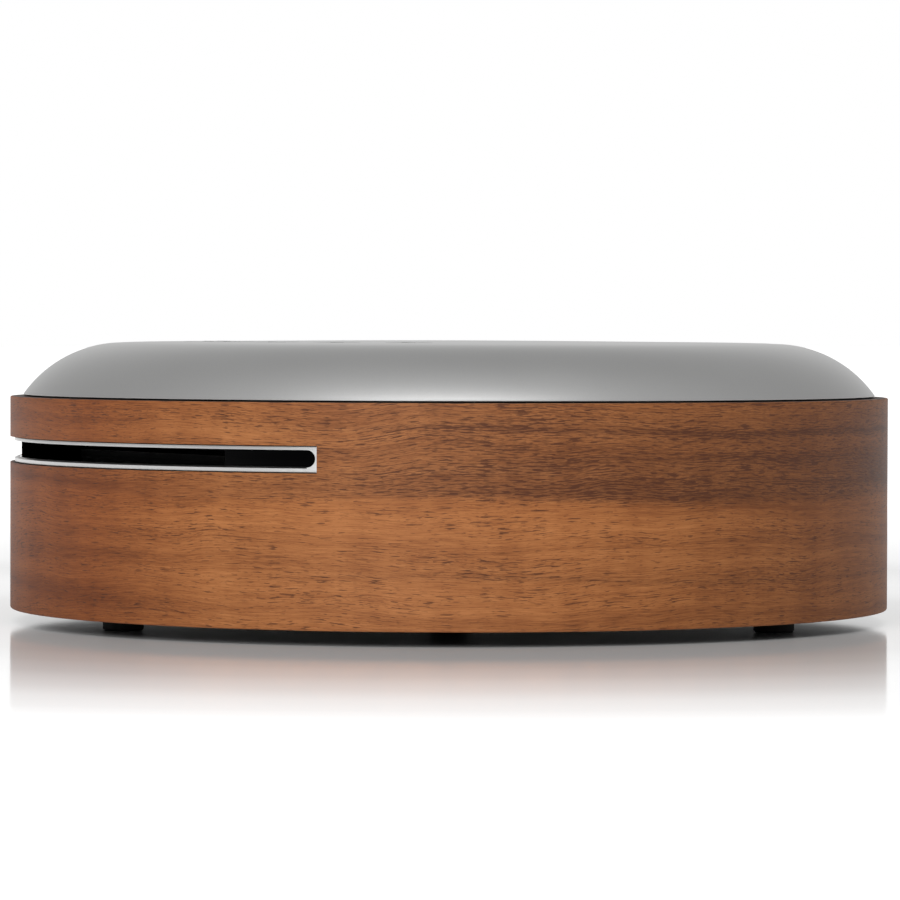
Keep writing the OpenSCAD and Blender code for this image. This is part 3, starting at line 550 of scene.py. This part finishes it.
def arc(cx, cz, r, a0, a1, count):
    """Points on an arc from a0 to a1 degrees, measured from +X towards +Z."""
    return [(cx + r * math.cos(math.radians(a0 + (a1 - a0) * i / count)),
             cz + r * math.sin(math.radians(a0 + (a1 - a0) * i / count))) for i in range(count + 1)]


# ---------------------------------------------------------------- cabinet wall

def veneer_piece():
    edge_top, edge_low = 0.35 * MM, 0.8 * MM
    inner = BODY_R - VENEER_T
    outline = [(inner, WALL_Z0)]
    outline += arc(BODY_R - edge_low * 0.6, WALL_Z0 + edge_low * 0.6, edge_low * 0.6, -90, 0, 5)
    steps = 12
    for i in range(1, steps):
        z = WALL_Z0 + edge_low + (WALL_Z1 - WALL_Z0 - edge_low - edge_top) * i / steps
        outline.append((BODY_R, z))
    outline += arc(BODY_R - edge_top, WALL_Z1 - edge_top, edge_top, 0, 90, 5)
    outline.append((inner, WALL_Z1))
    obj = piece("walnut_wall", lathe(outline, 720), "walnut")
    play = 0.15 * MM
    window = lathe([(BODY_R - 8 * MM, trim_low.z - play), (BODY_R + 5 * MM, trim_low.z - play),
                    (BODY_R + 5 * MM, trim_high.z + play), (BODY_R - 8 * MM, trim_high.z + play)],
                   240, -TRIM_HALF - 0.0012, 2 * TRIM_HALF + 0.0024)
    rear = box_mesh((-TRAY_HALF - play, 90 * MM, TRAY_Z0 - play),
                    (TRAY_HALF + play, 130 * MM, TRAY_Z1 + play))
    carve(obj, [window, rear])
    smooth_by_angle(obj, 40)
    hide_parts("walnut_veneer")
    return obj


def trim_piece():
    inner = TRIM_R - TRIM_T
    soft = 0.18 * MM
    outline = [(inner, trim_low.z)]
    outline += arc(TRIM_R - soft, trim_low.z + soft, soft, -90, 0, 4)
    outline += arc(TRIM_R - soft, trim_high.z - soft, soft, 0, 90, 4)
    outline.append((inner, trim_high.z))
    obj = piece("slot_trim_frame", lathe(outline, 300, -TRIM_HALF, 2 * TRIM_HALF), "trim")
    end_r = (OPEN_Z1 - OPEN_Z0) / 2
    middle = (OPEN_Z1 + OPEN_Z0) / 2
    far = OPEN_END - end_r / TRIM_R
    slope = [(inner - MM, OPEN_Z0 + 0.1 * MM), (inner + 0.4 * MM, OPEN_Z0 + 0.1 * MM),
             (TRIM_R + MM, OPEN_Z0 - 0.75 * MM), (TRIM_R + MM, OPEN_Z1), (inner - MM, OPEN_Z1)]
    cutters = [lathe(slope, 280, -far, 2 * far)]
    for side in (-1, 1):
        way = Vector((side * math.sin(far), -math.cos(far), 0))
        cutters.append(cylinder_mesh(way * (inner - 2 * MM) + Vector((0, 0, middle)),
                                     way * (TRIM_R + 2 * MM) + Vector((0, 0, middle)), end_r))
    carve(obj, cutters)
    smooth_by_angle(obj, 35)
    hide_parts("slot_trim")
    return obj


def cap_piece():
    """The domed cap as one shell, with bores for the keys and the light."""
    start = math.degrees(math.asin((CAP_Z0 - SHOULDER_Z) / SHOULDER_R))
    stop = math.degrees(math.acos((CROWN_EDGE - SHOULDER_X) / SHOULDER_R))
    inner_r = SHOULDER_R - CAP_T
    inner_start = math.degrees(math.asin((CAP_Z0 - SHOULDER_Z) / inner_r))
    outer = arc(SHOULDER_X, SHOULDER_Z, SHOULDER_R, start + 0.4, stop, 40)
    first = arc(SHOULDER_X, SHOULDER_Z, SHOULDER_R, start, start, 1)[0]
    outer = [(first[0] - 0.15 * MM, CAP_Z0)] + outer
    outer += [(CROWN_EDGE * i / 24, crown_z(CROWN_EDGE * i / 24)) for i in range(23, -1, -1)]
    inside = [(x, z - CAP_T) for x, z in outer if x < CROWN_EDGE - 0.1 * MM][::-1]
    inside += arc(SHOULDER_X, SHOULDER_Z, inner_r, stop, inner_start, 20)
    obj = piece("domed_cap", lathe(outer + inside, 512), "cap")
    cutters = []
    for key in KEY_NODES + ["light_pipe"]:
        low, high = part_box(key)
        centre = (low + high) / 2
        radius = 6.5 * MM if key in KEY_NODES else 1.3 * MM
        cutters.append(cylinder_mesh((centre.x, centre.y, cap_high.z - 8 * MM),
                                     (centre.x, centre.y, cap_high.z + 8 * MM), radius, 96))
    carve(obj, cutters)
    smooth_by_angle(obj, 30)
    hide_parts("top_cover")
    return obj


def cap_inside_piece():
    """The cap's locating rim and its four columns."""
    low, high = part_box("top_cover")
    inner, outer = SPIGOT_R - 2.4 * MM, SPIGOT_R + 1.8 * MM
    foot_z, step_z, top_z = WALL_Z1 - 5.5 * MM, CAP_Z0 + 0.2 * MM, CAP_Z0 + 2.2 * MM
    profile = [(inner, foot_z), (SPIGOT_R, foot_z), (SPIGOT_R, step_z),
               (outer, step_z), (outer, top_z), (inner, top_z)]
    edit = lathe(profile, 240)
    for angle in (20, 160, -35, -145):
        turn = math.radians(angle)
        foot = Vector((104 * MM * math.cos(turn), 104 * MM * math.sin(turn), low.z))
        merge(edit, tube_mesh(foot, 1.3 * MM, 4 * MM, CAP_Z0 + 11 * MM - low.z))
    obj = piece("cap_columns", edit, "cap")
    smooth_by_angle(obj, 40)
    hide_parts("top_cover")
    return obj


veneer_piece()
trim_piece()
cap_piece()
cap_inside_piece()


# ---------------------------------------------------------------- signs on the keys

def ring_shape(r0, r1, a0, a1, count=40):
    """A flat bent bar from a0 to a1 degrees, as one outline."""
    def at(r, i):
        a = math.radians(a0 + (a1 - a0) * i / count)
        return r * math.cos(a), r * math.sin(a)
    return [at(r1, i) for i in range(count + 1)] + [at(r0, i) for i in range(count, -1, -1)]


def bar(x0, x1, y0, y1):
    return [(x0, y0), (x1, y0), (x1, y1), (x0, y1)]


def arrow(x0, x1, half):
    return [(x0, -half), (x1, 0), (x0, half)]


SIGNS = {
    "key_power": [ring_shape(1.75, 2.15, 125, 415), bar(-0.2, 0.2, 0.9, 2.6)],
    "key_volume_down": [bar(-1.9, 1.9, -0.22, 0.22)],
    "key_previous": [arrow(0.0, -2.0, 1.25), arrow(2.0, 0.0, 1.25), bar(-2.4, -2.05, -1.25, 1.25)],
    "key_play": [arrow(-2.3, 0.1, 1.4), bar(0.7, 1.15, -1.4, 1.4), bar(1.75, 2.2, -1.4, 1.4)],
    "key_next": [arrow(0.0, 2.0, 1.25), arrow(-2.0, 0.0, 1.25), bar(2.05, 2.4, -1.25, 1.25)],
    "key_volume_up": [bar(-1.9, 1.9, -0.22, 0.22), bar(-0.22, 0.22, -1.9, -0.24),
                      bar(-0.22, 0.22, 0.24, 1.9)],
    "key_eject": [[(-1.8, -0.4), (1.8, -0.4), (0, 1.9)], bar(-1.8, 1.8, -1.5, -0.95)],
}


def sign_piece(key):
    """The printed sign on a key: a film a twentieth of a millimetre thick, upright towards the axis."""
    low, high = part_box(key)
    centre = (low + high) / 2
    facing = math.atan2(-centre.y, -centre.x) - math.pi / 2
    edit = bmesh.new()
    for outline in SIGNS[key]:
        rings = []
        for z in (high.z - 0.10 * MM, high.z + 0.02 * MM):
            rings.append([edit.verts.new(Matrix.Rotation(facing, 3, "Z") @ Vector((px * MM, py * MM, 0))
                                         + Vector((centre.x, centre.y, z))) for px, py in outline])
        edit.faces.new(rings[0][::-1])
        edit.faces.new(rings[1])
        count = len(outline)
        for i in range(count):
            j = (i + 1) % count
            edit.faces.new((rings[0][i], rings[0][j], rings[1][j], rings[1][i]))
    bmesh.ops.recalc_face_normals(edit, faces=edit.faces)
    return piece(key + "_sign", edit, "black_plastic", key)


for key in KEY_NODES:
    sign_piece(key)


def rocker_marks():
    """A bar above the pivot and a ring below it, printed on the sloping faces of the power rocker."""
    low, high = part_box("switch_housing")
    pivot = Vector(((low.x + high.x) / 2, 103 * MM, (low.z + high.z) / 2))
    rest = Matrix.Rotation(math.radians(-8), 3, "X")
    slant = math.atan2(1.1, 7.0)
    edit = bmesh.new()
    for outline, side in ((bar(-0.22, 0.22, -1.2, 1.2), 1), (ring_shape(0.95, 1.3, 0, 360, 32), -1)):
        rings = []
        for depth in (3.05, 3.17):
            ring = []
            for px, pz in outline:
                height = side * 3.2 + pz
                ring.append(edit.verts.new(pivot + rest @ (Vector((
                    px, depth + (abs(height) - 3.2) * math.tan(slant), height)) * MM)))
            rings.append(ring)
        count = len(outline)
        half = count // 2
        if side > 0:
            edit.faces.new(rings[0])
            edit.faces.new(rings[1][::-1])
        else:
            for ring in rings:
                for i in range(half - 1):
                    edit.faces.new((ring[i], ring[i + 1], ring[count - 2 - i], ring[count - 1 - i]))
        for i in range(count):
            j = (i + 1) % count
            edit.faces.new((rings[0][i], rings[0][j], rings[1][j], rings[1][i]))
    bmesh.ops.remove_doubles(edit, verts=edit.verts, dist=1e-7)
    bmesh.ops.recalc_face_normals(edit, faces=edit.faces)
    return piece("rocker_marks", edit, "white_plastic", "rocker")


rocker_marks()


# ---------------------------------------------------------------- stage and light

# How much the floor glows and how much it mirrors, against the distance from the drum's axis in metres; the
# glow is nil under the drum and rises outwards, a painted shadow round its foot
FLOOR_GLOW_AND_PAINTED_SHADOW = [(0.17, 0.0), (0.21, 0.16), (0.25, 0.24), (0.34, 0.24), (0.40, 0.36), (0.60, 0.50), (0.98, 0.85)]
FLOOR_GLOSS = [(0.13, 0.60), (0.20, 0.60), (0.235, 0.54), (0.28, 0.38), (0.31, 0.23), (0.34, 0.15),
               (0.37, 0.07), (0.40, 0.0)]


def floor_material():
    """A white floor that glows, with a painted shadow where the glow fades to nothing under and round the
    drum, and whose reflection fades away from the drum.
    """
    g = Graph("floor")
    x, y, z = g.split(g.position)
    radius = g.math("SQRT", g.math("ADD", g.math("POWER", x, 2.0), g.math("POWER", y, 2.0)))
    speck = g.noise(g.position, 3.0, 2.0, 0.5)
    g.finish(g.mix(speck, (0.88, 0.88, 0.88, 1), (0.91, 0.91, 0.91, 1)), 0.6, None, Specular_IOR_Level=0.0)
    # The glow paints the shadow under and round the drum: nil there, rising outwards
    glow_and_painted_shadow = g.add("ShaderNodeEmission")
    g.feed(glow_and_painted_shadow.inputs["Strength"], g.ramp(radius, [(r, (value,) * 3) for r, value in FLOOR_GLOW_AND_PAINTED_SHADOW]))
    lit = g.add("ShaderNodeAddShader")
    g.join(g.shader.outputs[0], lit.inputs[0])
    g.join(glow_and_painted_shadow.outputs[0], lit.inputs[1])
    gloss = g.add("ShaderNodeBsdfGlossy")
    gloss.inputs["Roughness"].default_value = 0.09
    gloss.inputs["Color"].default_value = (0.98, 0.98, 0.98, 1)
    share = g.ramp(radius, [(r, (value,) * 3) for r, value in FLOOR_GLOSS])
    blend = g.add("ShaderNodeMixShader")
    g.join(share, blend.inputs[0])
    g.join(lit.outputs[0], blend.inputs[1])
    g.join(gloss.outputs[0], blend.inputs[2])
    g.join(blend.outputs[0], g.out.inputs[0])
    return g.material


def make_floor():
    edit = bmesh.new()
    bmesh.ops.create_grid(edit, x_segments=8, y_segments=8, size=14.0)
    mesh = bpy.data.meshes.new("floor")
    edit.to_mesh(mesh)
    edit.free()
    floor = bpy.data.objects.new("floor", mesh)
    bpy.context.scene.collection.objects.link(floor)
    mesh.materials.append(floor_material())


def make_world():
    """A plain white backdrop; the light that falls on the drum comes from softer sky, dim in front."""
    world = bpy.data.worlds.new("studio")
    bpy.context.scene.world = world
    world.use_nodes = True
    tree = world.node_tree
    tree.nodes.clear()
    make = tree.nodes.new
    join = tree.links.new

    def ramp_of(source, stops):
        ramp = make("ShaderNodeValToRGB")
        join(source, ramp.inputs[0])
        while len(ramp.color_ramp.elements) < len(stops):
            ramp.color_ramp.elements.new(0.5)
        for element, (place, value) in zip(ramp.color_ramp.elements, stops):
            element.position = place
            element.color = (value, value, value, 1)
        return ramp.outputs[0]

    coordinates = make("ShaderNodeTexCoord")
    towards = make("ShaderNodeVectorMath")
    towards.operation = "DOT_PRODUCT"
    join(coordinates.outputs["Generated"], towards.inputs[0])
    towards.inputs[1].default_value = (-math.sin(AZIMUTH) / 2, math.cos(AZIMUTH) / 2, 0)
    shifted = make("ShaderNodeMath")
    shifted.operation = "ADD"
    join(towards.outputs["Value"], shifted.inputs[0])
    shifted.inputs[1].default_value = 0.5
    sky = make("ShaderNodeBackground")
    join(ramp_of(shifted.outputs[0], SKY), sky.inputs[0])
    plain = make("ShaderNodeBackground")
    plain.inputs[0].default_value = (1, 1, 1, 1)
    path = make("ShaderNodeLightPath")
    pick = make("ShaderNodeMixShader")
    join(path.outputs["Is Camera Ray"], pick.inputs[0])
    join(sky.outputs[0], pick.inputs[1])
    join(plain.outputs[0], pick.inputs[2])
    out = make("ShaderNodeOutputWorld")
    join(pick.outputs[0], out.inputs[0])


# Brightness of the sky, from straight in front of the drum (0) over the top to straight behind it (1)
SKY = [(0.0, 0.16), (0.22, 0.26), (0.36, 0.50), (0.44, 0.56), (0.55, 0.50), (0.70, 0.40), (0.84, 0.42),
       (0.93, 0.52), (0.975, 0.80), (1.0, 1.05)]


def soft_box(name, azimuth, elevation, distance, size, power):
    """A rectangular light aimed at the drum; azimuth 0 is in front of the slot, positive towards +X."""
    lamp = bpy.data.lights.new(name, "AREA")
    lamp.shape = "RECTANGLE"
    lamp.size, lamp.size_y = size
    lamp.energy = power
    obj = bpy.data.objects.new(name, lamp)
    bpy.context.scene.collection.objects.link(obj)
    a, e = math.radians(azimuth), math.radians(elevation)
    place = Vector((math.sin(a) * math.cos(e), -math.cos(a) * math.cos(e), math.sin(e))) * distance
    aim = Vector((0, 0, 0.04))
    obj.matrix_world = Matrix.Translation(place + aim) @ place.to_track_quat("Z", "Y").to_matrix().to_4x4()


make_floor()
make_world()
soft_box("key_light", 44, 20, 1.7, (0.7, 0.5), 9)
soft_box("front_light", 58, 52, 1.6, (1.3, 0.45), 8)
bpy.context.scene.view_settings.view_transform = "Standard"
